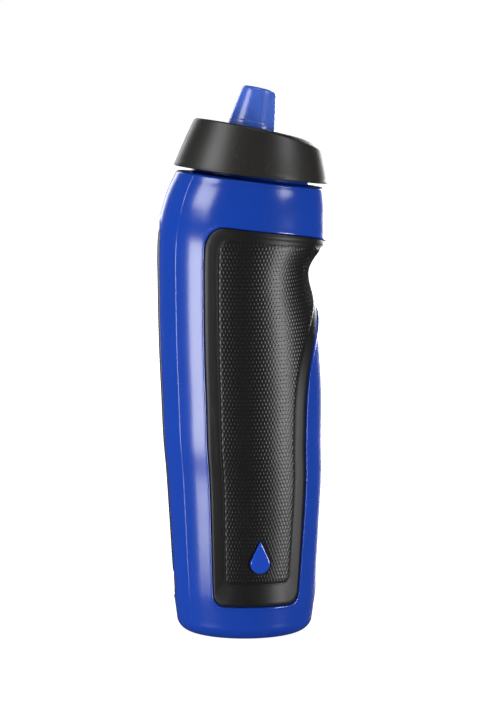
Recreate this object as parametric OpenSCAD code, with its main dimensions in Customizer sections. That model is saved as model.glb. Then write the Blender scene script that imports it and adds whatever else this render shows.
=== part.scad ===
// Sports squeeze bottle: blow-moulded body, moulded-on grip, slanted screw cap and push-pull nozzle.
// The origin is the centre of the standing ring. +Z is up and +X is the front, where the finger notch is.

/* [Body] */
// Radius of the standing ring under the base
foot_r = 23; // [22.8:0.05:23.05]
// Radius of the rounded bottom edge
foot_fillet = 6; // [5.5:0.1:6]
// Height of the rim's centre
rim_z = 195.8; // [194:0.1:198]
// Radius of the rim
rim_r = 31.7; // [31:0.1:32]
// How far the rim's centre lies towards the front
rim_x = 3.4; // [3:0.1:4]
// Thickness of the blow-moulded wall
wall = 1.3; // [1.1:0.1:1.5]

/* [Finger notch] */
// Height of the deepest point
notch_z = 157; // [155:0.5:159]
// Depth at the front
notch_depth = 9.6; // [8:0.1:10.5]
// Angle from the front at which the notch has run out
notch_reach = 130; // [120:1:140]

/* [Grip] */
// Depth of the pocket that the grip fills
pocket = 1.6; // [1.3:0.1:1.8]
// How far the grip's skin lies below the body's own surface
grip_sink = 0.4; // [0.2:0.05:0.6]
// Angle from the front to the grip's rear edge
grip_rear = 156; // [154:0.5:158]
// Height of the grip's lower edge
grip_low = 14.8; // [14:0.1:16]
// Height of the grip's upper edge
grip_high = 175.5; // [174:0.1:176]
// Angle from the front to the side of the bare front panel
tongue_half = 79; // [77:0.5:80]
// Height of the top of the bare front panel
tongue_top = 144.5; // [142:0.5:146]

/* [Neck and thread] */
// Forward tilt of the rim, the neck and the thread
neck_tilt = 9.1; // [8:0.1:10]
// Outer radius of the neck
neck_r = 25.5; // [25.2:0.1:25.6]
// Bore radius of the neck
neck_bore = 23.7; // [23.4:0.1:23.8]
// Advance of the thread in one turn
thread_lead = 4.5; // [4.2:0.1:4.8]
// Turns of thread
thread_turns = 1.25; // [1.1:0.05:1.25]
// Height of the thread's ridge
thread_h = 1.25; // [1.1:0.05:1.3]

/* [Cap] */
// Radius of the cap's lower edge
cap_r = 33.4; // [33:0.1:33.6]
// Gap between the body's rim and the cap
cap_gap = 1.9; // [1.7:0.1:2.1]
// Height of the cap's top at its centre
cap_h = 18.8; // [18.4:0.1:19.2]
// Taper of the cap's side
cap_taper = 17; // [16.5:0.1:17.5]
// Forward tilt of the cap's top and of the spout
spout_tilt = 15.7; // [15:0.1:16]
// Radius of the bore inside the cap's skirt
skirt_bore = 27.2; // [27.1:0.05:27.3]

/* [Nozzle] */
// How far behind the cap's centre the spout stands
spout_back = 3; // [2.5:0.1:3.5]
// Height of the nozzle above the cap
nozzle_h = 18; // [17.6:0.1:18.4]
// Radius of the nozzle at its foot
nozzle_foot = 10.2; // [10:0.1:10.5]
// Radius of the nozzle at its tip
nozzle_tip = 7.3; // [7.2:0.1:7.6]
// Outer radius of the valve stem
stem_r = 5.5; // [5.4:0.05:5.6]
// Radial clearance of the sliding nozzle
slide_gap = 0.08; // [0.03:0.01:0.1]

/* [Badge] */
// Width of the drop badge
badge_w = 8.4; // [7:0.1:9]
// Height of the badge's centre
badge_z = 34; // [32:0.5:36]
// Angle of the badge from the front
badge_turn = 118; // [114:1:122]

/* [Hidden] */
$fn = 96;

// Height, radius and forward offset of the body's cross-sections
SECTIONS = [
    [6, 29.2, 0], [20, 31, 0.1], [54, 33.4, 0.3], [70, 34.3, 0.1], [84, 34.8, -0.8],
    [104, 35.4, -1.2], [124, 35.8, -1.8], [150, 36.2, -2], [170, 36.4, -1.6],
    [182, 35.1, 0.1], [190, 33.6, 2], [rim_z, rim_r, rim_x]
];
tilt_low = 150;
tilt_high = 178;
notch_up = 18;
notch_down = 15;
notch_fade = [95, 125];
corner_top = 9;
corner_low = 5;
rim_fillet = 1.2;
lip = 0.2;
lip_turn = 0.4;
gasket_t = 1.4;
seat_h = 12;
neck_top = cap_gap + seat_h - gasket_t;
tilt_step = spout_tilt - neck_tilt;

// ---- Body shape ----

function clamp01(v) = min(1, max(0, v));
function smooth(v) = let(c = clamp01(v)) c * c * (3 - 2 * c);

// Slope of column k of SECTIONS at station i
function slope(i, k) = let(last = len(SECTIONS) - 1, a = max(0, i - 1), b = min(last, i + 1))
    (SECTIONS[b][k] - SECTIONS[a][k]) / (SECTIONS[b][0] - SECTIONS[a][0]);

// Index of the station at or below height z
function station(z, i = 0) = (i >= len(SECTIONS) - 2 || z < SECTIONS[i + 1][0]) ? i : station(z, i + 1);

// Smooth curve through column k of SECTIONS at height z
function through(z, k) = let(
        i = station(z),
        p = SECTIONS[i], q = SECTIONS[i + 1],
        d = q[0] - p[0],
        u = (z - p[0]) / d
    )
    p[k] * (1 + 2 * u) * (1 - u) * (1 - u) + q[k] * u * u * (3 - 2 * u)
    + d * slope(i, k) * u * (1 - u) * (1 - u) - d * slope(i + 1, k) * u * u * (1 - u);

function tilt_at(z) = neck_tilt * smooth((z - tilt_low) / (tilt_high - tilt_low));

// Depth of the finger notch at angle a from the front and height z
function notch(a, z) = let(
        around = abs(a) < notch_reach ? 0.5 + 0.5 * cos(abs(a) * 180 / notch_reach) : 0,
        d = z - notch_z,
        above = d < notch_up ? pow(cos(90 * d / notch_up), 2) : 0,
        below = smooth((z - notch_fade[0]) / (notch_fade[1] - notch_fade[0])) / (1 + pow(d / notch_down, 2))
    )
    notch_depth * around * (d > 0 ? above : below);

// A point on the body at angle a from the front, section height z, and this far inside the surface
function skin(a, z, deep = 0) = let(
        r = through(z, 1) - notch(a, z) - deep,
        t = tilt_at(z)
    )
    [through(z, 2) + r * cos(a) * cos(t), r * sin(a), z - r * cos(a) * sin(t)];

// A point in the tilted rim plane's frame: radius r, height h above the rim
function rim_point(a, r, h) = [
    rim_x + r * cos(a) * cos(neck_tilt) + h * sin(neck_tilt),
    r * sin(a),
    rim_z - r * cos(a) * sin(neck_tilt) + h * cos(neck_tilt)
];

// ---- Outline of the grip ----

// Rise of a rounded corner of radius r that is reached at the share u of its width
function corner(u, r) = r * (1 - sqrt(1 - pow(clamp01(u), 2)));

mm_to_turn = 1.6;
side_high = 95;
side_low = grip_low + corner_low;
tongue_low = tongue_half + 2.5;

// Lower edge: over the bare front panel, down beside it, and along the bottom
function low_edge(a) = let(b = abs(a))
    b < tongue_half ? side_high + (tongue_top - side_high) * pow(1 - pow(b / tongue_half, 2.5), 1 / 2.2)
    : b < tongue_low ? side_high - (side_high - side_low) * (b - tongue_half) / (tongue_low - tongue_half)
    : grip_low + corner(1 - (b - tongue_low) / (corner_low * mm_to_turn), corner_low)
        + corner(1 - (grip_rear - b) / (corner_low * mm_to_turn), corner_low);

function high_edge(a) = let(b = abs(a))
    grip_high - 4 * pow(max(0, cos(b)), 2) - corner(1 - (grip_rear - b) / (corner_top * mm_to_turn), corner_top);

// Columns of the body's mesh, as angles from the front, closer together at the grip's edges
HALF = concat(
    [12, 24, 34, 43, 51, 58, 64, 69, 73, 76],
    [for (k = [0:5]) tongue_half + 0.5 * k],
    [83, 86, 90, 98, 107, 116, 125, 134, 142, 147, 151, 154],
    [grip_rear - lip_turn, grip_rear + lip_turn, 168]
);
half_n = len(HALF);
COLUMNS = concat([0], HALF, [180], [for (k = [half_n - 1:-1:0]) -HALF[k]]);
col_n = len(COLUMNS);

in_rows = 14;
low_rows = 4;
high_rows = 4;
// Above 1, the rows inside the grip crowd towards its top, where the notch is
row_crowd = 1.3;

function has_grip(a) = abs(a) < grip_rear;

// One column of points from the bottom of the loft to the rim, at depth deep under the surface
function column(a, deep) = let(
        zl = low_edge(min(abs(a), grip_rear)),
        zh = high_edge(min(abs(a), grip_rear)),
        z0 = SECTIONS[0][0],
        z1 = rim_z - rim_fillet,
        sunk = has_grip(a) ? pocket : 0
    )
    concat(
        [for (k = [0:low_rows]) skin(a, z0 + (zl - lip - z0) * k / low_rows, deep)],
        [for (k = [0:in_rows]) skin(a, zh - lip - (zh - zl - 2 * lip) * pow(1 - k / in_rows, row_crowd), deep + sunk)],
        [for (k = [0:high_rows]) skin(a, zh + lip + (z1 - zh - lip) * k / high_rows, deep)]
    );

function backwards(v) = [for (k = [len(v) - 1:-1:0]) v[k]];

// The whole wall: up the outside, over the rim, in to the neck and down the inside
function wall_ring(a) = concat(
    column(a, 0),
    [rim_point(a, rim_r - 0.3 * rim_fillet, -0.3 * rim_fillet), rim_point(a, rim_r - rim_fillet, 0)],
    [rim_point(a, neck_r - 0.9, 0), rim_point(a, neck_r - 0.9, -wall)],
    [rim_point(a, rim_r - rim_fillet - wall, -wall)],
    backwards(column(a, wall))
);

// Two triangles over the cell from columns i and i2 and rows j and j2, split along one diagonal or the other
function cell(i, i2, j, j2, rows, flip) = let(
        p = i * rows + j, q = i2 * rows + j, r = i2 * rows + j2, s = i * rows + j2
    )
    flip ? [[p, s, q], [q, s, r]] : [[p, s, r], [p, r, q]];

row_first = low_rows;
row_last = low_rows + in_rows + 2;

// Diagonals run outwards to the four corners of each grip panel
function splits(i, j) = let(right = i < col_n / 2, low = j < (row_first + row_last) / 2) right == low;

module body_loft() {
    rings = [for (a = COLUMNS) wall_ring(a)];
    rows = len(rings[0]);
    polyhedron(
        points = [for (ring = rings) each ring],
        faces = [for (i = [0:col_n - 1], j = [0:rows - 1])
            each cell(i, (i + 1) % col_n, j, (j + 1) % rows, rows, splits(i, j))]
    );
}

// Standing ring, rounded bottom edge and pushed-up floor
module base() {
    ring_w = 2.4;
    push_r = 12;
    push_h = 3.2;
    top_h = 3.6;
    thick = wall - 0.3;
    rotate_extrude() {
        difference() {
            translate([foot_r, foot_fillet]) circle(foot_fillet);
            translate([foot_r, foot_fillet]) circle(foot_fillet - thick);
            translate([0, -1]) square([foot_r, 20]);
            translate([0, foot_fillet]) square([40, 20]);
        }
        // spigot that stands inside the wall above
        translate([foot_r + foot_fillet - thick, foot_fillet]) square([thick, 1]);
        polygon([
            [foot_r, 0], [foot_r, thick], [foot_r - ring_w, thick], [push_r, push_h + thick],
            [0, top_h + thick], [0, top_h], [push_r, push_h], [foot_r - ring_w, 0]
        ]);
    }
}

// ---- Neck and thread ----

module at_neck(h = 0) {
    translate([rim_x, 0, rim_z]) rotate([0, neck_tilt, 0]) translate([0, 0, h]) children();
}

thread_steps = 48;
thread_start = 3.6;

// Helical ridge: side is +1 on the outside of a wall of radius r, and -1 on the inside of one
module ridge(r, side, start) {
    n = thread_steps;
    fade = 3;
    rings = [for (k = [0:n]) let(
            turn = 360 * thread_turns * k / n,
            grow = 0.15 + 0.85 * smooth(min(k, n - k) / fade),
            top = r + side * thread_h * grow,
            root = r - side * 0.5,
            z = start + thread_lead * turn / 360
        )
        [for (p = [[root, -1.15], [top, -0.4], [top, 0.4], [root, 1.15]])
            [p[0] * cos(turn), p[0] * sin(turn), z + p[1]]]];
    m = 4;
    sides = [for (k = [0:n - 1], j = [0:m - 1]) each let(
            a = k * m + j, b = k * m + (j + 1) % m, c = (k + 1) * m + (j + 1) % m, d = (k + 1) * m + j
        ) [[a, b, c], [a, c, d]]];
    ends = concat([for (j = [1:m - 2]) [0, j + 1, j]], [for (j = [1:m - 2]) [n * m, n * m + j, n * m + j + 1]]);
    faces = concat(sides, ends);
    polyhedron(
        points = [for (ring = rings) each ring],
        faces = side > 0 ? faces : [for (f = faces) backwards(f)]
    );
}

module neck() {
    at_neck() {
        rotate_extrude() {
            translate([neck_bore, 0.1 - wall]) square([neck_r - neck_bore, neck_top + wall - 0.1]);
            translate([neck_bore, 0.1 - wall]) square([neck_r - neck_bore + 1.6, wall - 0.2]);
        }
        ridge(neck_r, 1, thread_start);
    }
}

module bottle_body() {
    color("royalblue") union() {
        body_loft();
        base();
        neck();
    }
}

// ---- Grip ----

// Columns of the body's mesh that the grip covers, from one rear edge round the front to the other
GRIP_COLUMNS = [for (k = [half_n - 2:-1:0]) -HALF[k], 0, for (k = [0:half_n - 2]) HALF[k]];

module grip() {
    cols = len(GRIP_COLUMNS);
    rows = in_rows + 3;
    function pick(a, deep) = let(c = column(a, deep)) [for (k = [row_first:row_last]) c[k]];
    function well_inside(i, j) = i > 1 && i < cols - 2 && j > 1 && j < rows - 2;
    // The outer skin is flush with the body along its edges and sunk elsewhere
    function outer(i) = let(flush = pick(GRIP_COLUMNS[i], -pocket), sunk = pick(GRIP_COLUMNS[i], grip_sink - pocket))
        [for (j = [0:rows - 1]) well_inside(i, j) ? sunk[j] : flush[j]];
    function on_edge(i, j) = i == 0 || i == cols - 1 || j == 0 || j == rows - 1;
    function split(i, j) = (i >= (cols - 1) / 2) == (j < (rows - 1) / 2);
    lower = [for (a = GRIP_COLUMNS) pick(a, 0)];
    upper = [for (i = [0:cols - 1]) outer(i)];
    // An edge point is shared by the two skins, so the upper skin takes the lower skin's own point there
    function top_index(v) = let(i = floor(v / rows), j = v % rows) on_edge(i, j) ? v : cols * rows + v;
    quads = [for (i = [0:cols - 2], j = [0:rows - 2]) each cell(i, i + 1, j, j + 1, rows, split(i, j))];
    color("dimgray") difference() {
        polyhedron(
            points = concat([for (c = lower) each c], [for (c = upper) each c]),
            faces = concat(
                [for (f = quads) [for (v = f) top_index(v)]],
                [for (f = quads) backwards(f)]
            )
        );
        at_badge() translate([0, 0, -1]) linear_extrude(4) drop(badge_gap);
    }
}

// ---- Badge ----

badge_gap = 0.05;
badge_t = 1.9;

// Carries its children to the grip's skin, with their Z pointing out of it and their Y up
module at_badge() {
    r = through(badge_z, 1);
    lean = atan((through(badge_z + 8, 1) - through(badge_z - 4, 1)) / 12);
    translate([through(badge_z, 2), 0, badge_z])
    rotate([0, 0, -badge_turn]) translate([r - pocket + 0.1, 0, 0]) rotate([90, 0, 90]) rotate([lean, 0, 0])
        children();
}

// Outline of a water drop that is wider by gap all round
module drop(gap = 0) {
    r = badge_w / 2 + gap;
    side = 25;
    circle(r);
    polygon([[-r * cos(side), r * sin(side)], [r * cos(side), r * sin(side)], [0, r / sin(side)]]);
}

module drop_badge() {
    color("royalblue") at_badge() linear_extrude(badge_t) drop();
}

// ---- Cap ----

module neck_gasket() {
    color("whitesmoke") at_neck(neck_top) rotate_extrude()
        translate([neck_bore - 0.8, 0]) square([skirt_bore - 0.3 - neck_bore + 0.8, gasket_t]);
}

module at_cap() {
    at_neck(cap_gap) children();
}

module at_top() {
    at_cap() translate([0, 0, cap_h]) rotate([0, tilt_step, 0]) children();
}

module at_spout() {
    at_top() translate([-spout_back, 0, 0]) children();
}

// Tapered outside of the cap, cut off by its slanted, bevelled top
module cap_outside() {
    edge = 0.6;
    high = cap_h + 8;
    bevel = 1.7;
    bevel_r = cap_r - (cap_h - 1.6) * tan(cap_taper) - bevel;
    drop = 30;
    intersection() {
        at_cap() rotate_extrude()
            polygon([[0, 0], [cap_r - edge, 0], [cap_r, edge], [cap_r - high * tan(cap_taper), high], [0, high]]);
        at_top() rotate_extrude()
            polygon([[0, -drop], [bevel_r + drop, -drop], [bevel_r, 0], [0, 0]]);
    }
}

cap_wall = 1.8;
skirt_wall = 1.5;
dome_r = 21;
flange_r = 9;
flange_t = 2;
o_ring_r = 0.9;
o_ring_at = 7.4;

module cap_shell() {
    groove_out = cap_r - cap_wall;
    groove_in = skirt_bore + skirt_wall;
    groove_h = 6;
    color("#2b2b2d") difference() {
        cap_outside();
        at_cap() {
            // bore of the threaded skirt, up to the gasket's seat
            translate([0, 0, -1]) cylinder(r = skirt_bore, h = seat_h + 1);
            // coring between the skirt and the outer wall
            rotate_extrude() polygon([
                [groove_in, -1], [groove_out + tan(cap_taper), -1],
                [groove_out - groove_h * tan(cap_taper), groove_h], [groove_in, groove_h]
            ]);
        }
        // hollow under the slanted top
        intersection() {
            at_cap() cylinder(r = dome_r, h = 40);
            at_top() translate([-40, -40, -30 - 2.4]) cube([80, 80, 30]);
        }
        // hole for the valve stem, with the seat of its O-ring
        at_spout() {
            translate([0, 0, -5]) cylinder(r = stem_r, h = 10);
            translate([0, 0, -2.4 - 1]) cylinder(r = o_ring_at + o_ring_r + 0.05, h = 1 + o_ring_r);
        }
    }
    color("#2b2b2d") at_cap() intersection() {
        ridge(skirt_bore, -1, thread_start - cap_gap - 2.1);
        cylinder(r = skirt_bore + 0.3, h = seat_h);
    }
}

// ---- Valve stem and nozzle ----

bead_low = 9.4;
tube_top = 12.6;
tube_bore = 3.9;
pin_r = 1.95;
pin_top = nozzle_h - 0.8;

module valve_stem() {
    color("#2b2b2d") at_spout() union() {
        rotate_extrude() {
            translate([tube_bore, -2.4 - flange_t]) square([stem_r - tube_bore, tube_top + 2.4 + flange_t]);
            difference() {
                translate([tube_bore, -2.4 - flange_t]) square([flange_r - tube_bore, flange_t]);
                // groove that holds the O-ring
                translate([o_ring_at - o_ring_r - 0.05, -2.4 - o_ring_r - 0.05])
                    square([2 * o_ring_r + 0.1, 2 * o_ring_r]);
            }
            polygon([[stem_r - 0.4, bead_low], [stem_r + 0.8, bead_low], [stem_r + 0.8, bead_low + 0.7],
                [stem_r - 0.4, bead_low + 2.4]]);
            translate([0, 4]) square([pin_r, pin_top - 4]);
        }
        for (k = [0:2]) rotate([0, 0, 120 * k]) translate([0, -0.6, 4]) cube([tube_bore + 0.4, 1.2, 4]);
    }
}

module stem_o_ring() {
    color("dimgray") at_spout() translate([0, 0, -2.4]) rotate_extrude()
        translate([o_ring_at, 0]) circle(o_ring_r, $fn = 32);
}

module nozzle() {
    slope = (nozzle_foot - 0.2 - nozzle_tip) / (nozzle_h - 3);
    tip_round = 1.4;
    bore = stem_r + slide_gap;
    roof = nozzle_h - 3.4;
    color("#2f57c8") at_spout() rotate_extrude() difference() {
        union() {
            polygon([[0, 0.2], [nozzle_foot - 0.3, 0.2], [nozzle_foot, 0.5], [nozzle_foot, 2.9],
                [nozzle_foot - 0.2, 3.1], [nozzle_tip + slope * tip_round, nozzle_h - tip_round],
                [0, nozzle_h - tip_round]]);
            translate([0, nozzle_h - tip_round]) square([nozzle_tip - tip_round, tip_round]);
            translate([nozzle_tip - tip_round, nozzle_h - tip_round]) circle(tip_round, $fn = 32);
        }
        translate([-1, -1]) square([bore + 1, 5]);
        translate([-1, 3.2]) polygon([[0, 0], [stem_r + 2.5, 0], [stem_r + 2.1, roof - 3.2], [0, roof - 3.2]]);
        translate([-1, roof - 1]) square([pin_r + slide_gap + 1, 6]);
        translate([-5, -1]) square([5, 30]);
    }
}

bottle_body();
grip();
drop_badge();
neck_gasket();
cap_shell();
valve_stem();
stem_o_ring();
nozzle();
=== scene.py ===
import math

import bpy
import numpy as np
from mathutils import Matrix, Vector


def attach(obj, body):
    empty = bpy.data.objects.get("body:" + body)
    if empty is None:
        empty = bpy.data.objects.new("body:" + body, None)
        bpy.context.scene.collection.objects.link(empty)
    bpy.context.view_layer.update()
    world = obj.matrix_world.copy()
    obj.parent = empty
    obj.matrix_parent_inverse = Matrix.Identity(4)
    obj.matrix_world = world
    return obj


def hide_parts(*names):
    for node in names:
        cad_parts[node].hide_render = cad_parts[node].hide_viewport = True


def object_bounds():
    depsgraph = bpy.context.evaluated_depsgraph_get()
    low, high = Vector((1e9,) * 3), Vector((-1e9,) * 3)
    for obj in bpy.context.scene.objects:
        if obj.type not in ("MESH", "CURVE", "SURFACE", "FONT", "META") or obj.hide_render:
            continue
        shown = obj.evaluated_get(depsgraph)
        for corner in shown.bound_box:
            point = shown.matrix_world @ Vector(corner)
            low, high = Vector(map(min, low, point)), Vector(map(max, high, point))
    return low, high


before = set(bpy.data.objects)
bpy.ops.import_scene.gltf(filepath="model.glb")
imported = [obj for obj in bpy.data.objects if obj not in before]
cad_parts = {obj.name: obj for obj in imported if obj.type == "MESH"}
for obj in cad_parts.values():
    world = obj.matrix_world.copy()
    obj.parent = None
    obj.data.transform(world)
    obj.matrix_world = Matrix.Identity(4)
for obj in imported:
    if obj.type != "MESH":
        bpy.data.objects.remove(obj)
cad_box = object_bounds()

# ---- Camera -------------------------------------------------------------------------------------
# A long lens three metres away, 40 degrees round from the bottle's side towards its back, looking
# slightly down.
camera_turn, camera_drop, camera_reach = math.radians(-40), math.radians(9.2), 3.0
low, high = cad_box
centre = (low + high) / 2
towards = Vector((math.sin(camera_turn) * math.cos(camera_drop),
                  -math.cos(camera_turn) * math.cos(camera_drop), math.sin(camera_drop)))
rightwards = Vector((math.cos(camera_turn), math.sin(camera_turn), 0))
AIM_LEFT, AIM_DOWN = 0.0013, 0.0005
aim = centre - rightwards * AIM_LEFT - Vector((0, 0, AIM_DOWN))
lens = bpy.data.cameras.new("camera")
lens.lens, lens.sensor_width = 348.8, 36
lens.clip_start, lens.clip_end = 0.1, 50
camera = bpy.data.objects.new("camera", lens)
camera.location = aim + towards * camera_reach
camera.rotation_mode = "QUATERNION"
camera.rotation_quaternion = (-towards).to_track_quat("-Z", "Y")
bpy.context.scene.collection.objects.link(camera)
bpy.context.scene.camera = camera

# ---- Studio -------------------------------------------------------------------------------------
# A white sweep with a low and a high soft box on each side of the camera, two strips behind the bottle
# and a broad box overhead. The low boxes reach below the table's top, which their light passes.
world = bpy.data.worlds.new("studio")
bpy.context.scene.world = world
world.use_nodes = True
sky = world.node_tree
sky.nodes.clear()
seen, felt = sky.nodes.new("ShaderNodeBackground"), sky.nodes.new("ShaderNodeBackground")
seen.inputs["Color"].default_value = (1, 1, 1, 1)
seen.inputs["Strength"].default_value = 1.0
felt.inputs["Color"].default_value = (0.96, 0.98, 1, 1)
felt.inputs["Strength"].default_value = 0.06
mixed, out, ray = (sky.nodes.new("ShaderNode" + k) for k in ("MixShader", "OutputWorld", "LightPath"))
sky.links.new(ray.outputs["Is Camera Ray"], mixed.inputs["Fac"])
sky.links.new(felt.outputs[0], mixed.inputs[1])
sky.links.new(seen.outputs[0], mixed.inputs[2])
sky.links.new(mixed.outputs[0], out.inputs["Surface"])


def soft_box(name, turn, height, reach, width, tall, glow):
    """An area light at an angle from the front, facing the middle of the bottle; glow is its radiance."""
    data = bpy.data.lights.new(name, "AREA")
    data.shape, data.size, data.size_y = "RECTANGLE", width, tall
    data.energy = glow * math.pi * width * tall
    lamp = bpy.data.objects.new(name, data)
    a = math.radians(turn)
    lamp.location = Vector((reach * math.cos(a), reach * math.sin(a), height))
    lamp.rotation_mode = "QUATERNION"
    lamp.rotation_quaternion = (centre - lamp.location).to_track_quat("-Z", "Y")
    bpy.context.scene.collection.objects.link(lamp)


soft_box("left_low_box", 171, -0.045, 1.2, 0.66, 0.52, 13)
soft_box("left_high_box", 162, 0.95, 1.2, 0.68, 0.52, 10)
soft_box("right_low_box", -69, -0.06, 1.3, 0.42, 0.48, 21)
soft_box("right_high_box", -63, 0.95, 1.2, 0.45, 0.5, 8.5)
soft_box("far_box", 28, 0.3, 1.4, 0.5, 1.2, 9.0)
soft_box("back_box", 74, 0.3, 1.4, 0.4, 0.9, 3.0)
soft_box("top_box", -120, 1.5, 0.25, 0.8, 0.8, 2.0)

floor_mesh = bpy.data.meshes.new("floor")
floor_mesh.from_pydata([(-6, -6, 0), (6, -6, 0), (6, 6, 0), (-6, 6, 0)], [], [(0, 1, 2, 3)])
floor = bpy.data.objects.new("floor", floor_mesh)
bpy.context.scene.collection.objects.link(floor)
floor.visible_glossy = floor.visible_shadow = False
paint = bpy.data.materials.new("floor_paint")
paint.use_nodes = True
coat = paint.node_tree.nodes["Principled BSDF"]
coat.inputs["Base Color"].default_value = (0.45, 0.45, 0.45, 1)
coat.inputs["Roughness"].default_value = 0.9
coat.inputs["Specular IOR Level"].default_value = 0.1
coat.inputs["Emission Color"].default_value = (1, 1, 1, 1)
# The floor shines only towards the camera, so it stays pale without lighting the bottle from below
direct = paint.node_tree.nodes.new("ShaderNodeLightPath")
glow = paint.node_tree.nodes.new("ShaderNodeMath")
glow.operation = "MULTIPLY"
glow.inputs[1].default_value = 0.95
paint.node_tree.links.new(direct.outputs["Is Camera Ray"], glow.inputs[0])
paint.node_tree.links.new(glow.outputs[0], coat.inputs["Emission Strength"])
floor_mesh.materials.append(paint)
bpy.context.scene.view_settings.view_transform = "Standard"

# ---- Bottle body --------------------------------------------------------------------------------
# The squeezable bottle: one blow-moulded skin of soft blue polyethylene with a pushed-up base,
# a pocket for the grip, a finger notch at the front, and a tilted rim and neck.
MM = 0.001
FOOT_R, RIM_Z, RIM_R, RIM_X = 23.0, 195.8, 31.7, 3.4
NECK_TILT, NECK_R = math.radians(9.1), 25.5
WALL, POCKET = 1.3, 1.6
# The finger notch: height of its middle, depth, and how far round it reaches; the sections' tilt sets in
# over BOW_OVER mm from BOW_FROM up
NOTCH_Z, NOTCH_DEEP, NOTCH_SPREAD, NOTCH_FOOT = 157, 9.6, 130, 95
BOW_FROM, BOW_OVER = 150, 28
# The grip's edge: angles of its rear and side edges and how far the side slants, heights of its top, foot
# and arch, the arch's rise, and the corners' heights, with CORNER degrees of width to a mm of height
GRIP_REAR, GRIP_SIDE, GRIP_SLANT = 156, 79, 2.5
GRIP_TOP, GRIP_LOW, ARCH_Z, ARCH_RISE = 175.5, 14.8, 95, 49.5
TOP_ROUND, LOW_ROUND, CORNER = 9, 5, 1.6
# Mean radius that turns an angle round the skin into mm
AROUND = 35.5
SECTIONS = np.array([  # height, radius, forward offset
    [6, 29.2, 0], [20, 31, 0.1], [54, 33.4, 0.3], [70, 34.3, 0.1], [84, 34.8, -0.8], [104, 35.4, -1.2],
    [124, 35.8, -1.8], [150, 36.2, -2], [170, 36.4, -1.6], [182, 35.1, 0.1], [190, 33.6, 2],
    [RIM_Z, RIM_R, RIM_X]])


def smooth(v):
    """Smooth step: 0 below 0, 1 above 1, and 3v^2 - 2v^3 between."""
    c = np.clip(v, 0, 1)
    return c * c * (3 - 2 * c)


def through(z, column):
    """Cubic Hermite curve through a column of SECTIONS, each slope its neighbours' central difference."""
    at, value = SECTIONS[:, 0], SECTIONS[:, column]
    k = np.arange(len(at))
    before, after = np.maximum(k - 1, 0), np.minimum(k + 1, len(at) - 1)
    slope = (value[after] - value[before]) / (at[after] - at[before])
    i = np.clip(np.searchsorted(at, z, side="right") - 1, 0, len(at) - 2)
    d = at[i + 1] - at[i]
    u = (z - at[i]) / d
    return (value[i] * (1 + 2 * u) * (1 - u) ** 2 + value[i + 1] * u * u * (3 - 2 * u)
            + d * slope[i] * u * (1 - u) ** 2 - d * slope[i + 1] * u * u * (1 - u))


def notch(turn, z):
    """Finger notch: a raised cosine round the front, squared cosine above its middle, bell curve below."""
    round_it = np.where(np.abs(turn) < NOTCH_SPREAD,
                        0.5 + 0.5 * np.cos(np.radians(np.abs(turn) * 180 / NOTCH_SPREAD)), 0)
    d = z - NOTCH_Z
    above = np.where(d < 18, np.cos(np.radians(90 * np.clip(d / 18, -1, 1))) ** 2, 0)
    below = smooth((z - NOTCH_FOOT) / 30) / (1 + (d / 15) ** 2)
    return NOTCH_DEEP * round_it * np.where(d > 0, above, below)


def bow(z):
    """Tilt of the section at a height: none up to BOW_FROM, then a smooth step up to the neck's."""
    return NECK_TILT * smooth((z - BOW_FROM) / BOW_OVER)


def skin(turn, z, deep):
    """Point at an angle from the front and a section height, deep mm inside the tilting sections' surface."""
    turn, z, deep = np.broadcast_arrays(turn, z, deep)
    r = through(z, 1) - notch(turn, z) - deep
    tilt = bow(z)
    a = np.radians(turn)
    return np.stack([through(z, 2) + r * np.cos(a) * np.cos(tilt), r * np.sin(a),
                     z - r * np.cos(a) * np.sin(tilt)], -1)


def tilted(turn, r, h):
    """Point in the tilted rim's frame: angle, radius and height above the rim plane."""
    turn, r, h = np.broadcast_arrays(turn, r, h)
    a = np.radians(turn)
    x = r * np.cos(a)
    return np.stack([RIM_X + x * math.cos(NECK_TILT) + h * math.sin(NECK_TILT), r * np.sin(a),
                     RIM_Z - x * math.sin(NECK_TILT) + h * math.cos(NECK_TILT)], -1)


def top_line(turn):
    """Upper edge of the grip before its corners are rounded: it dips 4 mm at the front."""
    return GRIP_TOP - 4 * np.maximum(0, np.cos(np.radians(turn))) ** 2


def grip_outline(rear, side, top_in, low_in, arch, round_top, round_low, counts):
    """Half outline of a grip panel as (angle, height) rows: top, rear, bottom, side, and arch over the front.

    rear and side are angles, top_in and low_in insets from the grip's own edges, arch the rise of the arch,
    and the corners are quarter ellipses CORNER degrees wide for each mm of their height.
    """
    wide_t, wide_l, slant = CORNER * round_top, CORNER * round_low, GRIP_SLANT
    low = GRIP_LOW + low_in
    f = [np.linspace(0, 1, n, endpoint=False) for n in counts]
    bend = np.radians(90)
    parts = [
        np.stack([(rear - wide_t) * f[0], top_line((rear - wide_t) * f[0]) - top_in], -1),
        np.stack([rear - wide_t * (1 - np.sin(bend * f[1])),
                  GRIP_TOP - top_in - round_top * (1 - np.cos(bend * f[1]))], -1),
        np.stack([rear + 0 * f[2], GRIP_TOP - top_in - round_top
                  - (GRIP_TOP - top_in - round_top - low - round_low) * f[2]], -1),
        np.stack([rear - wide_l * (1 - np.cos(bend * f[3])),
                  low + round_low * (1 - np.sin(bend * f[3]))], -1),
        np.stack([rear - wide_l - (rear - side - slant - 2 * wide_l) * f[4], low + 0 * f[4]], -1),
        np.stack([side + slant + wide_l * (1 - np.sin(bend * f[5])),
                  low + round_low * (1 - np.cos(bend * f[5]))], -1),
        np.stack([side + slant * (1 - f[6]), low + round_low + (ARCH_Z - low - round_low) * f[6]], -1),
        np.stack([side * np.cos(bend * np.r_[f[7], 1]).clip(0) ** 0.8,
                  ARCH_Z + arch * np.sin(bend * np.r_[f[7], 1]) ** (1 / 1.1)], -1),
    ]
    return np.concatenate(parts)


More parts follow.
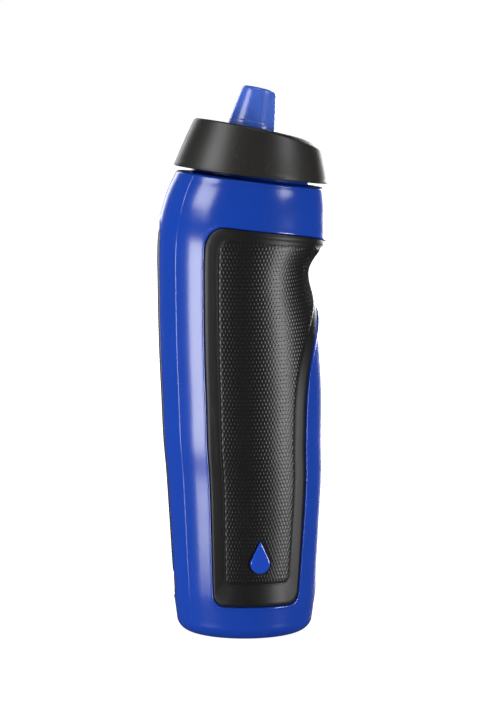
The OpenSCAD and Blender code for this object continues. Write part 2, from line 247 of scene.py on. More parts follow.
def edge_distance(turn, z, outline):
    """Distance in mm along the skin to a half outline, positive inside it, with AROUND mm to a radian."""
    b, flat_z = np.abs(turn).ravel() + 1e-6, z.ravel()
    reach, crossings = np.empty(b.size), np.empty(b.size, int)
    loop = np.concatenate([outline, outline[:1]])
    (b0, z0), (b1, z1) = loop[:-1].T, loop[1:].T
    for s in range(0, b.size, 6000):
        bb, zz = b[s:s + 6000, None], flat_z[s:s + 6000, None]
        gap = (np.radians(bb - b0) * AROUND) ** 2 + (zz - z0) ** 2
        reach[s:s + 6000] = np.sqrt(gap.min(1))
        spans = (z0 > zz) != (z1 > zz)
        meet = b0 + (zz - z0) * (b1 - b0) / np.where(z1 == z0, 1e-9, z1 - z0)
        crossings[s:s + 6000] = (spans & (bb < meet)).sum(1)
    return np.where(crossings % 2 == 1, reach, -reach).reshape(turn.shape)


def net(rows, columns, first=0, round_rows=False, round_columns=True):
    """Quads of a grid of rows by columns, joined round either way."""
    i = np.arange(rows if round_rows else rows - 1)[:, None]
    j = np.arange(columns if round_columns else columns - 1)[None]
    i2, j2 = (i + 1) % rows, (j + 1) % columns
    quads = np.stack([i * columns + j, i * columns + j2, i2 * columns + j2, i2 * columns + j], -1)
    return (first + quads.reshape(-1, 4)).tolist()


def fan(pole, first, columns, inward):
    """Triangles from a pole to a ring of points."""
    j = np.arange(columns)
    j2 = (j + 1) % columns
    ring = (first + j2, first + j) if inward else (first + j, first + j2)
    return np.stack([np.full(columns, pole), *ring], -1).tolist()


def tube_of(rings):
    """Closed shell from (rings, columns, 3) points, round both ways."""
    return rings.reshape(-1, 3), net(rings.shape[0], rings.shape[1], round_rows=True)


def poled(rings, start, end):
    """Closed shell from (rings, columns, 3) points, a pole before the first ring and after the last."""
    n, m = rings.shape[:2]
    points = np.concatenate([rings.reshape(-1, 3), [start, end]])
    return points, net(n, m) + fan(n * m, 0, m, True) + fan(n * m + 1, (n - 1) * m, m, False)


def piece(name, shells, material, body, crease=40):
    """One object from closed shells in mm, shaded smooth up to the crease angle, on a CAD body."""
    points, faces = [], []
    for verts, quads in shells:
        start = sum(len(p) for p in points)
        points.append(np.asarray(verts) * MM)
        faces += [[start + k for k in f] for f in quads]
    mesh = bpy.data.meshes.new(name)
    mesh.from_pydata(np.concatenate(points).tolist(), [], faces)
    mesh.validate()
    mesh.shade_smooth()
    mesh.set_sharp_from_angle(angle=math.radians(crease))
    mesh.materials.append(material)
    made = bpy.data.objects.new(name, mesh)
    bpy.context.scene.collection.objects.link(made)
    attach(made, body)
    return made


def ridge(r, side, start, turns=1.25, lead=4.5, steps=150):
    """Closed thread ridge: a rounded trapezium carried up a helix, growing and fading over its ends."""
    k = np.arange(steps + 1)
    turn = 360 * turns * k / steps
    grow = 0.1 + 0.9 * smooth(np.minimum(k, steps - k) / 10)
    shape = np.array([[-0.4, -1.15], [0, -0.98], [0.5, -0.75], [1, -0.45], [1, 0.45], [0.5, 0.75], [0, 0.98],
                      [-0.4, 1.15]])
    out_by = np.where(shape[:, 0] > 0, shape[:, 0] * 1.25, shape[:, 0])
    radius = r + side * out_by[None] * np.where(out_by[None] > 0, grow[:, None], 1)
    rings = np.stack([np.broadcast_to(turn[:, None], radius.shape), radius,
                      start + lead * turn[:, None] / 360 + shape[None, :, 1]], -1)
    n, m = rings.shape[:2]
    quads = net(n, m)
    caps = [list(range(m)), [(n - 1) * m + j for j in reversed(range(m))]]
    faces = quads + caps
    if side > 0:
        faces = [f[::-1] for f in faces]
    return rings.reshape(-1, 3), faces


# Half outlines of the grip's own edge and of the knurled field inside it
GRIP_SHAPE = (GRIP_REAR, GRIP_SIDE, 0, 0, ARCH_RISE, TOP_ROUND, LOW_ROUND)
FIELD_SHAPE = (145.6, 89.4, 4.3, 10, 56, 5, 3.5)
DENSE = (900, 130, 1150, 90, 460, 90, 600, 900)
grip_edge = grip_outline(*GRIP_SHAPE, DENSE)
field_edge = grip_outline(*FIELD_SHAPE, DENSE)

# Columns of the body's grid: close together at the parting lines and along both sides of each grip panel
beside = np.array([-5, -3.6, -2.6, -1.8, -1.2, -0.8, -0.5, -0.25, 0, 0.25, 0.5, 0.8, 1.2, 1.8, 2.6, 3.6, 5])
even = np.arange(3, 178, 3.0)
even = even[(np.abs(even - GRIP_SIDE) > 6) & (np.abs(even - GRIP_REAR) > 6)]
half = np.sort(np.concatenate([[0, 0.15, 0.3, 0.5, 0.9], even, GRIP_SIDE + beside, GRIP_REAR + beside,
                               [179.1, 179.5, 179.7, 179.85, 180]]))
straight = np.concatenate([half, -half[-2:0:-1]])

# Rows of the outer wall, close together along the grip's lower edge, its arch and its upper edge
near = np.array([-3, -2, -1.4, -1, -0.7, -0.45, -0.25, -0.1, 0.05, 0.2, 0.4, 0.7, 1.2, 2, 3])
side_b = np.abs(straight)
slant_share = np.where(side_b < GRIP_SIDE, side_b / GRIP_SIDE,
                       np.clip((GRIP_REAR - side_b) / (GRIP_REAR - GRIP_SIDE), 0, 1))
slid = side_b + GRIP_SLANT * slant_share
foot_side, low_wide = GRIP_SIDE + GRIP_SLANT, CORNER * LOW_ROUND
corner_in = np.clip(1 - (slid - foot_side) / low_wide, 0, 1)
corner_out = np.clip(1 - (GRIP_REAR - slid) / low_wide, 0, 1)
line_low = np.where((slid < foot_side) | (side_b > GRIP_REAR), GRIP_LOW + LOW_ROUND,
                    GRIP_LOW + LOW_ROUND * (1 - np.sqrt(1 - corner_in ** 2))
                    + LOW_ROUND * (1 - np.sqrt(1 - corner_out ** 2)))
line_arch = np.where(side_b < GRIP_SIDE, ARCH_Z + ARCH_RISE
                     * np.clip(1 - (side_b / GRIP_SIDE) ** 2.5, 0, 1) ** (1 / 2.2), ARCH_Z)
up_to_rear = np.minimum(side_b, GRIP_REAR)
corner_up = np.clip(1 - (GRIP_REAR - up_to_rear) / (CORNER * TOP_ROUND), 0, 1)
line_high = top_line(up_to_rear) - TOP_ROUND * (1 - np.sqrt(1 - corner_up ** 2))


def between(low, high, count):
    """Evenly spread rows between two lines of heights, both left out."""
    f = np.arange(1, count + 1)[:, None] / (count + 1)
    return low + (high - low) * f


WALL_FROM, WALL_TO = 6.0, 194.6
wall_z = np.concatenate([
    np.full((1, side_b.size), WALL_FROM), between(WALL_FROM, line_low - 3, 5), line_low + near[:, None],
    between(line_low + 3, line_arch - 3, 46), line_arch + near[:, None],
    between(line_arch + 3, line_high - 3, 34), line_high + near[:, None], between(line_high + 3, WALL_TO, 10),
    np.full((1, side_b.size), WALL_TO)])
lean = GRIP_SLANT * np.clip((ARCH_Z - wall_z) / (ARCH_Z - GRIP_LOW - LOW_ROUND), 0, 1) * slant_share
wall_turn = np.sign(straight) * (side_b + lean)
into = edge_distance(wall_turn, wall_z, grip_edge)
# A low bead runs beside the pocket, then the wall rolls over into it; a fine parting line runs up the
# front and the back
bead = -0.16 * np.exp(-((into + 0.75) / 0.4) ** 2)
arc_mm = np.radians(np.minimum(np.abs(wall_turn), 180 - np.abs(wall_turn))) * 36
parting = -0.11 * np.exp(-(arc_mm / 0.16) ** 2) * (into < -1)
outer_wall = skin(wall_turn, wall_z, bead + parting + POCKET * smooth((into + 0.4) / 0.6))

# Underside, from the pushed-up floor to the rounded bottom edge
push = np.array([[2, 3.59], [5, 3.53], [8, 3.42], [10.5, 3.28], [12, 3.08], [13.5, 2.7], [16, 1.9],
                 [18, 1.15], [19.6, 0.5], [20.4, 0.2], [21, 0.05], [21.6, 0], [22.4, 0]])
arc = np.radians(np.linspace(0, 84, 13))
foot = np.concatenate([push, np.stack([FOOT_R + 6.2 * np.sin(arc), 6 - 6 * np.cos(arc)], -1)])


def turned(profile, turn):
    """Rings of an upright revolved profile of (radius, height) rows."""
    a = np.radians(turn)
    return np.stack([profile[:, :1] * np.cos(a), profile[:, :1] * np.sin(a),
                     np.broadcast_to(profile[:, 1:], (len(profile), a.size))], -1)


under = turned(foot, straight)
roll = np.radians(np.linspace(0, 90, 9))[1:, None]
start_r = float(through(np.array(WALL_TO), 1))
rim_roll = tilted(straight[None], 30.5 + (start_r - 30.5) * np.cos(roll), -1.2 + 1.2 * np.sin(roll))
ease = skin(straight, WALL_TO, 0.0) - tilted(straight, start_r, -1.2)
rim_roll = rim_roll + ease[None] * ((1 - roll / roll[-1]) ** 2)[..., None]
neck_profile = np.array([
    [29.8, 0], [28.4, 0], [26.9, 0], [26.1, 0.12], [25.7, 0.4], [25.5, 0.9], [25.5, 3], [25.5, 5.5],
    [25.5, 8],
    [25.5, 10.5], [25.5, 12], [25.4, 12.3], [25.15, 12.5], [24.6, 12.5], [24, 12.5], [23.8, 12.35],
    [23.7, 12],
    [23.7, 9], [23.7, 5], [23.7, 1], [23.75, -0.3], [24.1, -1.05], [24.9, -1.3], [26.5, -1.35], [28.2, -1.4],
    [29.3, -1.6], [30, -2.3]])
neck_rings = tilted(straight[None], neck_profile[:, :1], neck_profile[:, 1:])
inside_z = np.linspace(192.6, 7.5, 48)[:, None] + 0 * straight[None]
inside_turn = np.broadcast_to(straight, inside_z.shape)
inside_wall = skin(inside_turn, inside_z, WALL + POCKET * smooth(
    (edge_distance(inside_turn, inside_z, grip_edge) + 2) / 2.2))
inside_foot = turned(np.array([[27.75, 5.4], [27.1, 3.6], [25.9, 2.1], [24.4, 1.25], [23, 1.0], [21.4, 1.05],
                               [20.2, 1.6], [16, 3.0], [12, 4.25], [6, 4.5], [2, 4.58]]), straight)
body_shell = poled(np.concatenate([under, outer_wall, rim_roll, neck_rings, inside_wall, inside_foot]),
                   (0, 0, 3.6), (0, 0, 4.6))
thread, thread_faces = ridge(NECK_R, 1, 3.6)
neck_thread = tilted(thread[:, 0], thread[:, 1], thread[:, 2]), thread_faces


def effect(name, inputs, outputs):
    """Empty shader node group with named inputs and outputs."""
    group = bpy.data.node_groups.new(name, "ShaderNodeTree")
    for label, kind, value in inputs:
        group.interface.new_socket(label, in_out="INPUT", socket_type=kind).default_value = value
    for label, kind in outputs:
        group.interface.new_socket(label, in_out="OUTPUT", socket_type=kind)
    return group, group.nodes.new("NodeGroupInput"), group.nodes.new("NodeGroupOutput")


def part_of(tree, kind, links=(), **values):
    """A shader node with some sockets linked and the rest of the given ones set."""
    made = tree.nodes.new(kind)
    for label, value in values.items():
        if hasattr(made, label):
            setattr(made, label, value)
        else:
            made.inputs[label.replace("_", " ")].default_value = value
    for socket, source in links:
        tree.links.new(source, made.inputs[socket])
    return made


VECTOR, NUMBER, COLOUR = "NodeSocketVector", "NodeSocketFloat", "NodeSocketColor"

# Mould grain: fine eroded pores over a slow ripple
grain_group, gin, gout = effect("mould_grain", [("Place", VECTOR, (0, 0, 0)), ("Fineness", NUMBER, 2500.0),
                                                ("Ripple", NUMBER, 0.2)], [("Height", NUMBER)])
fine = part_of(grain_group, "ShaderNodeTexNoise", [("Vector", gin.outputs[0]), ("Scale", gin.outputs[1])],
               Detail=3.0, Roughness=0.6)
slow = part_of(grain_group, "ShaderNodeTexNoise", [("Vector", gin.outputs[0])], Scale=55.0, Detail=1.0)
swell = part_of(grain_group, "ShaderNodeMath", [(0, slow.outputs["Fac"]), (1, gin.outputs[2])],
                operation="MULTIPLY")
total = part_of(grain_group, "ShaderNodeMath", [(0, fine.outputs["Fac"]), (1, swell.outputs[0])],
                operation="ADD")
grain_group.links.new(total.outputs[0], gout.inputs[0])

# Handling scratches: long thin streaks in a given direction, broken up by a coarse cloud
scratch_group, sin_, sout = effect("handling_scratches", [("Place", VECTOR, (0, 0, 0)),
                                                          ("Stretch", VECTOR, (900, 900, 60)),
                                                          ("Amount", NUMBER, 0.4)], [("Mask", NUMBER)])
pulled = part_of(scratch_group, "ShaderNodeVectorMath", [(0, sin_.outputs[0]), (1, sin_.outputs[1])],
                 operation="MULTIPLY")
streaks = part_of(scratch_group, "ShaderNodeTexNoise", [("Vector", pulled.outputs[0])], Scale=1.0, Detail=2.0)
thin = part_of(scratch_group, "ShaderNodeMapRange", [("Value", streaks.outputs["Fac"])],
               **{"From_Min": 0.60, "From_Max": 0.72})
cloud = part_of(scratch_group, "ShaderNodeTexNoise", [("Vector", sin_.outputs[0])], Scale=38.0, Detail=2.0)
patch = part_of(scratch_group, "ShaderNodeMapRange", [("Value", cloud.outputs["Fac"])],
                **{"From_Min": 0.42, "From_Max": 0.68})
both = part_of(scratch_group, "ShaderNodeMath", [(0, thin.outputs[0]), (1, patch.outputs[0])],
               operation="MULTIPLY")
worn = part_of(scratch_group, "ShaderNodeMath", [(0, both.outputs[0]), (1, sin_.outputs[2])],
               operation="MULTIPLY")
scratch_group.links.new(worn.outputs[0], sout.inputs[0])

# Pigment drift: the colour wanders between a thin and a thick tone of one pigment
drift_group, din, dout = effect("pigment_drift", [("Place", VECTOR, (0, 0, 0)), ("Thin", COLOUR,
                                                  (1, 1, 1, 1)), ("Thick", COLOUR, (0, 0, 0, 1)),
                                                  ("Size", NUMBER, 30.0)],
                                [("Color", COLOUR)])
wander = part_of(drift_group, "ShaderNodeTexNoise", [("Vector", din.outputs[0]), ("Scale", din.outputs[3])],
                 Detail=4.0, Roughness=0.55)
blend = part_of(drift_group, "ShaderNodeMix", [("Factor", wander.outputs["Fac"]), (6, din.outputs[1]),
                                               (7, din.outputs[2])], data_type="RGBA")
drift_group.links.new(blend.outputs[2], dout.inputs[0])


def moulded_plastic(name, thin_tone, thick_tone, roughness, fineness=2500.0, pore=0.00002, scratches=0.4,
                    ripple=0.2, stretch=(900, 900, 60)):
    """A moulded finish: pigment drift for colour, grain and scratches for relief, gloss that wear dulls."""
    made = bpy.data.materials.new(name)
    made.use_nodes = True
    tree = made.node_tree
    shader = tree.nodes["Principled BSDF"]
    place = part_of(tree, "ShaderNodeTexCoord").outputs["Object"]
    drift = part_of(tree, "ShaderNodeGroup", node_tree=drift_group)
    grain = part_of(tree, "ShaderNodeGroup", node_tree=grain_group)
    scratch = part_of(tree, "ShaderNodeGroup", node_tree=scratch_group)
    for group in (drift, grain, scratch):
        tree.links.new(place, group.inputs["Place"])
    drift.inputs["Thin"].default_value = (*thin_tone, 1)
    drift.inputs["Thick"].default_value = (*thick_tone, 1)
    grain.inputs["Fineness"].default_value = fineness
    grain.inputs["Ripple"].default_value = ripple
    scratch.inputs["Amount"].default_value = scratches
    scratch.inputs["Stretch"].default_value = stretch
    paler = part_of(tree, "ShaderNodeMix", [("Factor", scratch.outputs[0]), (6, drift.outputs[0])],
                    data_type="RGBA")
    paler.inputs[7].default_value = (*[min(1, 0.03 + 1.6 * c) for c in thin_tone], 1)
    tree.links.new(paler.outputs[2], shader.inputs["Base Color"])
    dull = part_of(tree, "ShaderNodeMapRange", [("Value", grain.outputs[0])],
                   **{"From_Min": 0.3, "From_Max": 0.9, "To_Min": roughness - 0.04, "To_Max": roughness + 0.05})
    duller = part_of(tree, "ShaderNodeMath", [(0, scratch.outputs[0]), (2, dull.outputs[0])],
                     operation="MULTIPLY_ADD")
    duller.inputs[1].default_value = 0.18
    tree.links.new(duller.outputs[0], shader.inputs["Roughness"])
    relief = part_of(tree, "ShaderNodeMath", [(0, scratch.outputs[0]), (2, grain.outputs[0])],
                     operation="MULTIPLY_ADD")
    relief.inputs[1].default_value = -0.35
    bump = part_of(tree, "ShaderNodeBump", [("Height", relief.outputs[0])], Strength=0.6, Distance=pore)
    tree.links.new(bump.outputs[0], shader.inputs["Normal"])
    return made


body_blue = moulded_plastic("body_blue", (0.0065, 0.045, 0.33), (0.0050, 0.036, 0.28), 0.15, pore=0.000016,
                            scratches=0.1, ripple=5.0)
bottle = piece("blown_body", [body_shell, neck_thread], body_blue, "bottle")
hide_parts("bottle_body")

# ---- Grip ---------------------------------------------------------------------------------------
# A soft black rubber sleeve moulded into the body's pocket: a smooth convex border round a knurled
# field of staggered diamonds, joined over the top of the finger notch.
LOOSE = (110, 18, 92, 14, 34, 14, 50, 90)
rim_path = grip_outline(*GRIP_SHAPE, LOOSE)
field_path = grip_outline(*FIELD_SHAPE, LOOSE)


def both_sides(path):
    """A half outline joined to its mirror image as one loop."""
    mirror = path[::-1] * [-1, 1]
    return np.concatenate([path, mirror[1:-1]])


rim_loop, field_loop = both_sides(rim_path), both_sides(field_path)
across = np.hypot(np.radians(field_loop[:, 0] - rim_loop[:, 0]) * AROUND, field_loop[:, 1] - rim_loop[:, 1])
from_rim = np.array([0.13, 0.15, 0.2, 0.3, 0.5, 0.8, 1.2, 1.7, 2.3, 2.9])
rim_share = np.array([0.03, 0.035, 0.047, 0.07, 0.12, 0.19, 0.27, 0.36, 0.45, 0.54])
to_field = np.array([1.7, 1.3, 0.9, 0.5, 0.1, -0.4, -1.0])
border_at = np.concatenate([np.minimum(from_rim[:, None], rim_share[:, None] * across),
                            across - np.where(to_field[:, None] > 0, np.minimum(
                                to_field[:, None], to_field[:, None] / 1.7 * 0.36 * across),
                                to_field[:, None])])
SUNK, GRIP_BACK = 1.45, 1.55
border_deep = np.array([SUNK, 0.8, 0.6, 0.5, 0.42, 0.35, 0.30, 0.29, 0.34, 0.44, 0.62, 0.69, 0.73, 0.74, 0.74,
                        0.78, SUNK])
# Under the arch the rubber starts lower than along the other edges
arch_dip = 0.7 * smooth((rim_loop[:, 1] - 120) / 20) * (rim_loop[:, 1] < 150) * (np.abs(rim_loop[:, 0]) < 70)
deep = border_deep[:, None] + arch_dip * (1 - smooth(border_at / 3.0))
deep = np.minimum(deep, SUNK)
share = (border_at / across)[..., None]
flat = rim_loop + (field_loop - rim_loop) * share
underside = np.stack([flat[-1], flat[len(flat) // 2], flat[0]])
border_top = skin(flat[..., 0], flat[..., 1], deep)
border_low = skin(underside[..., 0], underside[..., 1], GRIP_BACK)
border_rings = np.concatenate([border_top, border_low])
grip_black = moulded_plastic("grip_black", (0.007, 0.007, 0.007), (0.005, 0.005, 0.005), 0.42,
                             fineness=3200.0, pore=0.00003, scratches=0.25)
grip_black.node_tree.nodes["Principled BSDF"].inputs["Specular IOR Level"].default_value = 0.28
border_points, border_faces = tube_of(border_rings)
border = piece("grip_border", [(border_points, border_faces)], grip_black, "bottle", crease=60)
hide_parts("grip")

# The knurl is worked out on a grid four steps wide and high for each diamond cell
CELL_W, CELL_H = 2.5, 3.35
turn_line = np.arange(-232, 233) * CELL_W / 4
height_line = np.arange(24, 210) * CELL_H / 4
knurl_turn, knurl_z = np.meshgrid(turn_line, height_line)
section_z = knurl_z.copy()
for _ in range(12):
    section_z = knurl_z + (through(section_z, 1) - notch(knurl_turn, section_z)) * np.cos(
        np.radians(knurl_turn)) * np.sin(bow(section_z))
inset = edge_distance(knurl_turn, section_z, field_edge)
u, v = knurl_turn / CELL_W + knurl_z / CELL_H, knurl_turn / CELL_W - knurl_z / CELL_H
peak = np.minimum(2 * np.abs(u - np.round(u)), 2 * np.abs(v - np.round(v)))
BADGE_TURN, BADGE_Z, BADGE_R = -118.0, 34.0, 4.2


def drop_line(r, count=72):
    """Outline of a water drop: a circle and the two tangents leaving it 25 degrees up, to where they meet."""
    lean = np.radians(25)
    a = np.linspace(math.pi - lean, 2 * math.pi + lean, count)
    round_part = np.stack([r * np.cos(a), r * np.sin(a)], -1)
    tip = np.array([0, r / math.sin(lean)])
    f = np.linspace(0, 1, 14)[1:, None]
    right = round_part[-1] + (tip - round_part[-1]) * f
    left = (tip + (round_part[0] - tip) * f)[:-1]
    return np.concatenate([round_part, right, left])


across_badge = np.radians(knurl_turn - BADGE_TURN) * float(through(np.array(BADGE_Z), 1))
line = drop_line(BADGE_R)
clear = np.full(knurl_turn.shape, 9.0)
close = (np.abs(across_badge) < 7) & (np.abs(section_z - BADGE_Z - 3) < 12)
spot = np.stack([across_badge[close], section_z[close] - BADGE_Z], -1)
clear[close] = np.sqrt(((spot[:, None] - line[None]) ** 2).sum(-1)).min(1)
fade = smooth(inset / 1.3) * smooth((clear - 0.25) / 0.8)
pillow = np.interp(peak, [0, 0.5, 1], [0, 0.72, 1])
knurl_deep = 0.68 - 0.29 * pillow * fade + 0.75 * smooth(-inset / 1.1)
kept = inset > -1.3
quad_ok = kept[:-1, :-1] & kept[1:, :-1] & kept[:-1, 1:] & kept[1:, 1:]
top_points = skin(knurl_turn, section_z, knurl_deep).reshape(-1, 3)
low_points = skin(knurl_turn, section_z, 1.57 + 0 * knurl_deep).reshape(-1, 3)
rows, cols = knurl_turn.shape
index = np.arange(rows * cols).reshape(rows, cols)
quads = np.stack([index[:-1, :-1], index[:-1, 1:], index[1:, 1:], index[1:, :-1]], -1)[quad_ok]
sides = np.concatenate([quads[:, [0, 1]], quads[:, [1, 2]], quads[:, [2, 3]], quads[:, [3, 0]]])
key = sides[:, 0] * (rows * cols) + sides[:, 1]
back_key = sides[:, 1] * (rows * cols) + sides[:, 0]
rim_sides = sides[~np.isin(key, back_key)]
offset = rows * cols
# Each quad is split along the diagonal that stays on a groove or a crest
i_of, j_of = quads[:, 0] // cols, quads[:, 0] % cols
rising = (i_of + j_of) % 2 == 0
tris = np.concatenate([
    quads[rising][:, [0, 1, 2]], quads[rising][:, [0, 2, 3]],
    quads[~rising][:, [0, 1, 3]], quads[~rising][:, [1, 2, 3]]])
skirts = np.stack([rim_sides[:, 1], rim_sides[:, 0], rim_sides[:, 0] + offset, rim_sides[:, 1] + offset], -1)
all_faces = tris.tolist() + (quads[:, ::-1] + offset).tolist() + skirts.tolist()
used = np.unique(np.concatenate([quads.ravel(), quads.ravel() + offset]))
renumber = np.zeros(2 * offset, int)
renumber[used] = np.arange(used.size)
knurl_points = np.concatenate([top_points, low_points])[used]
knurl_faces = [[int(renumber[k]) for k in f] for f in all_faces]
knurl_black = moulded_plastic("knurl_black", (0.008, 0.008, 0.008), (0.0055, 0.0055, 0.0055), 0.33,
                              fineness=3600.0, pore=0.00002, scratches=0.15)
knurl_black.node_tree.nodes["Principled BSDF"].inputs["Specular IOR Level"].default_value = 0.32
knurl = piece("grip_knurl", [(knurl_points, knurl_faces)], knurl_black, "bottle", crease=70)

# ---- Drop badge ---------------------------------------------------------------------------------
# A small water-drop badge of glossy blue plastic, set through the grip's knurled field near its foot
# and leaning with the wall behind it.
# Share of the outline's size, and height, of each ring from the back to the crown
badge_rows = [(1.0, 0.0), (1.0, 0.9), (1.0, 1.6), (0.975, 1.78), (0.93, 1.9), (0.82, 1.97), (0.6, 2.03),
              (0.3, 2.06)]
badge_line = drop_line(BADGE_R)
middle = np.array([0.0, 1.2])


def on_badge(points, height):
    """Lays drawing points on the skin at the badge's place, height mm out from the pocket's floor."""
    a = math.radians(BADGE_TURN)
    z = BADGE_Z + points[:, 1]
    r = through(z, 1) - POCKET + 0.1 + height
    x = through(z, 2) + r * math.cos(a) - points[:, 0] * math.sin(a)
    y = r * math.sin(a) + points[:, 0] * math.cos(a)
    return np.stack([x, y, z], -1)


badge_rings = np.stack([on_badge(middle + (badge_line - middle) * s, h) for s, h in badge_rows])
badge_shell = poled(badge_rings, on_badge(middle[None], 0.0)[0], on_badge(middle[None], 2.07)[0])
badge_blue = moulded_plastic("badge_blue", (0.010, 0.055, 0.42), (0.008, 0.045, 0.36), 0.16, pore=0.000008,
                             scratches=0.3)
badge = piece("water_drop_badge", [badge_shell], badge_blue, "bottle", crease=50)
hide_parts("drop_badge")

# ---- Neck gasket --------------------------------------------------------------------------------
# A flat white ring of soft rubber that seals the neck against the cap's seat. It rises with the cap
# but doesn't turn with it.
ROUND = np.arange(0, 360, 3.0)
gasket_profile = np.array([
    [22.9, 12.75], [23.05, 12.55], [23.3, 12.5], [24.9, 12.5], [26.5, 12.5], [26.75, 12.55], [26.9, 12.75],
    [26.9, 13.65], [26.75, 13.85], [26.5, 13.9], [24.9, 13.9], [23.3, 13.9], [23.05, 13.85], [22.9, 13.65]])
gasket_rings = tilted(ROUND[None], gasket_profile[:, :1], gasket_profile[:, 1:])
gasket_white = moulded_plastic("gasket_white", (0.72, 0.72, 0.70), (0.62, 0.62, 0.60), 0.55, scratches=0.1)
gasket = piece("sealing_ring", [tube_of(gasket_rings)], gasket_white, "gasket")
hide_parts("neck_gasket")

# ---- Screw cap ----------------------------------------------------------------------------------
# A charcoal polypropylene cap: a tapered shell with a slanted, bevelled top, a threaded skirt inside,
# and a seat for the sealing ring.
CAP_GAP, CAP_R, CAP_H = 1.9, 33.4, 18.8
TAPER, TOP_TILT = math.tan(math.radians(17)), math.radians(6.6)
BEVEL_R, SPOUT_BACK = 26.44, 3.0
cap_turn = np.arange(0, 360, 2.0)
ca, sa = np.cos(np.radians(cap_turn)), np.sin(np.radians(cap_turn))


def top_frame(x, y, up):
    """A point given in the slanted top's frame, moved into the cap's own frame."""
    return np.stack(np.broadcast_arrays(x * math.cos(TOP_TILT) + up * math.sin(TOP_TILT), y,
                                        CAP_H - x * math.sin(TOP_TILT) + up * math.cos(TOP_TILT)), -1)


def cap_ring(r, h):
    """A level ring in the cap's own frame."""
    return np.stack(np.broadcast_arrays(r * ca, r * sa, h), -1)


def spout_ring(r, up, back=SPOUT_BACK):
    """A ring in the slanted top's frame, round a centre that lies back from the top's middle."""
    return top_frame(r * ca - back, r * sa, up)


def placed(points):
    """Cap-frame points moved to where the cap stands on the neck."""
    x, up = points[..., 0], points[..., 2] + CAP_GAP
    return np.stack([RIM_X + x * math.cos(NECK_TILT) + up * math.sin(NECK_TILT), points[..., 1],
                     RIM_Z - x * math.sin(NECK_TILT) + up * math.cos(NECK_TILT)], -1)


lean_k = 1 + math.tan(TOP_TILT) * ca
crown = -0.3 * ca ** 2
edge_h = (CAP_H + BEVEL_R - CAP_R * lean_k) / (1 - TAPER * lean_k) + crown
cap_rings = []
for s in np.radians([0, 30, 60, 90]):
    cap_rings.append(cap_ring(CAP_R - 0.6 + 0.6 * math.sin(s), 0.6 - 0.6 * math.cos(s)))
for f in np.linspace(0, 1, 16)[1:]:
    h = 0.6 + (edge_h - 0.95) * f
    cap_rings.append(cap_ring(CAP_R - TAPER * h + 0.22 * np.sin(math.pi * f), h))
side_end = cap_rings[-1]
rim_in = top_frame((BEVEL_R - 0.25) * ca, (BEVEL_R - 0.25) * sa, crown)
corner_low = cap_ring(CAP_R - TAPER * edge_h, edge_h)
bevel_high = top_frame((BEVEL_R + 0.12) * ca, (BEVEL_R + 0.12) * sa, crown - 0.12)
for f in (0.35, 0.7):
    cap_rings.append(side_end * (1 - f) ** 2 + corner_low * 2 * f * (1 - f) + (
        corner_low + (bevel_high - corner_low) * 0.22) * f * f)
for f in (0.22, 0.6, 0.95):
    cap_rings.append(corner_low + (bevel_high - corner_low) * f)
cap_rings.append(rim_in * 0.6 + bevel_high * 0.4)
cap_rings.append(rim_in)
for f in np.linspace(0, 1, 9)[1:]:
    r = BEVEL_R - 0.25 + (11.2 - BEVEL_R + 0.25) * f
    cap_rings.append(spout_ring(r, crown * (1 - f) ** 2 + 0.12 * (1 - (r / BEVEL_R) ** 2), SPOUT_BACK * f))
for r, up in [(10.9, 0.02), (10.75, -0.12), (10.6, -0.3), (9.0, -0.32), (6.4, -0.32), (5.6, -0.36),
              (5.5, -0.5), (5.5, -2.2), (5.6, -2.4), (8.35, -2.4), (9.4, -2.4), (14, -2.4), (17.2, -2.4)]:
    cap_rings.append(spout_ring(r, up))
dome_top = CAP_H - 2.4 - 21 * ca * math.tan(TOP_TILT)
for f in (0.0, 0.3, 0.65):
    cap_rings.append(cap_ring(21, dome_top - 0.1 + (12 - dome_top) * f))
for r, h in [(21, 12.25), (21.25, 12), (24, 12), (27, 12), (27.2, 11.8), (27.2, 8), (27.2, 4), (27.2, 0.5),
             (27.45, 0.1), (27.9, 0), (28.5, 0.05), (28.7, 0.3), (28.7, 3), (28.7, 5.8), (28.9, 6), (29.5, 6),
             (29.8, 5.8), (30.68, 3), (31.5, 0.3), (31.7, 0.05), (32.2, 0)]:
    cap_rings.append(cap_ring(r, h))
cap_shell = tube_of(placed(np.stack(cap_rings)))
female, female_faces = ridge(27.2, -1, 0.9, turns=1.1)
female_points = placed(np.stack([female[:, 1] * np.cos(np.radians(female[:, 0])),
                                 female[:, 1] * np.sin(np.radians(female[:, 0])), female[:, 2]], -1))
cap_black = moulded_plastic("cap_black", (0.0155, 0.0145, 0.0135), (0.0115, 0.0108, 0.010), 0.33,
                            fineness=2800.0, pore=0.00003, scratches=0.45, ripple=1.5,
                            stretch=(1400, 1400, 70))
cap_black.node_tree.nodes["Principled BSDF"].inputs["Specular IOR Level"].default_value = 0.38
cap = piece("screw_cap", [cap_shell, (female_points, female_faces)], cap_black, "cap", crease=38)
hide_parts("cap_shell")

# ---- Valve stem ---------------------------------------------------------------------------------
# A black tube welded under the cap's top, with a flange, a stop bead, three ribs and a middle pin
# that closes the nozzle's mouth.
spin = np.arange(0, 360, 5.0)
cs, ss = np.cos(np.radians(spin)), np.sin(np.radians(spin))


def on_spout(profile):
    """Rings of a (radius, height) profile turned round the spout's axis."""
    r, up = profile[:, :1], profile[:, 1:]
    return placed(top_frame(r * cs - SPOUT_BACK, r * ss, up + 0 * cs))


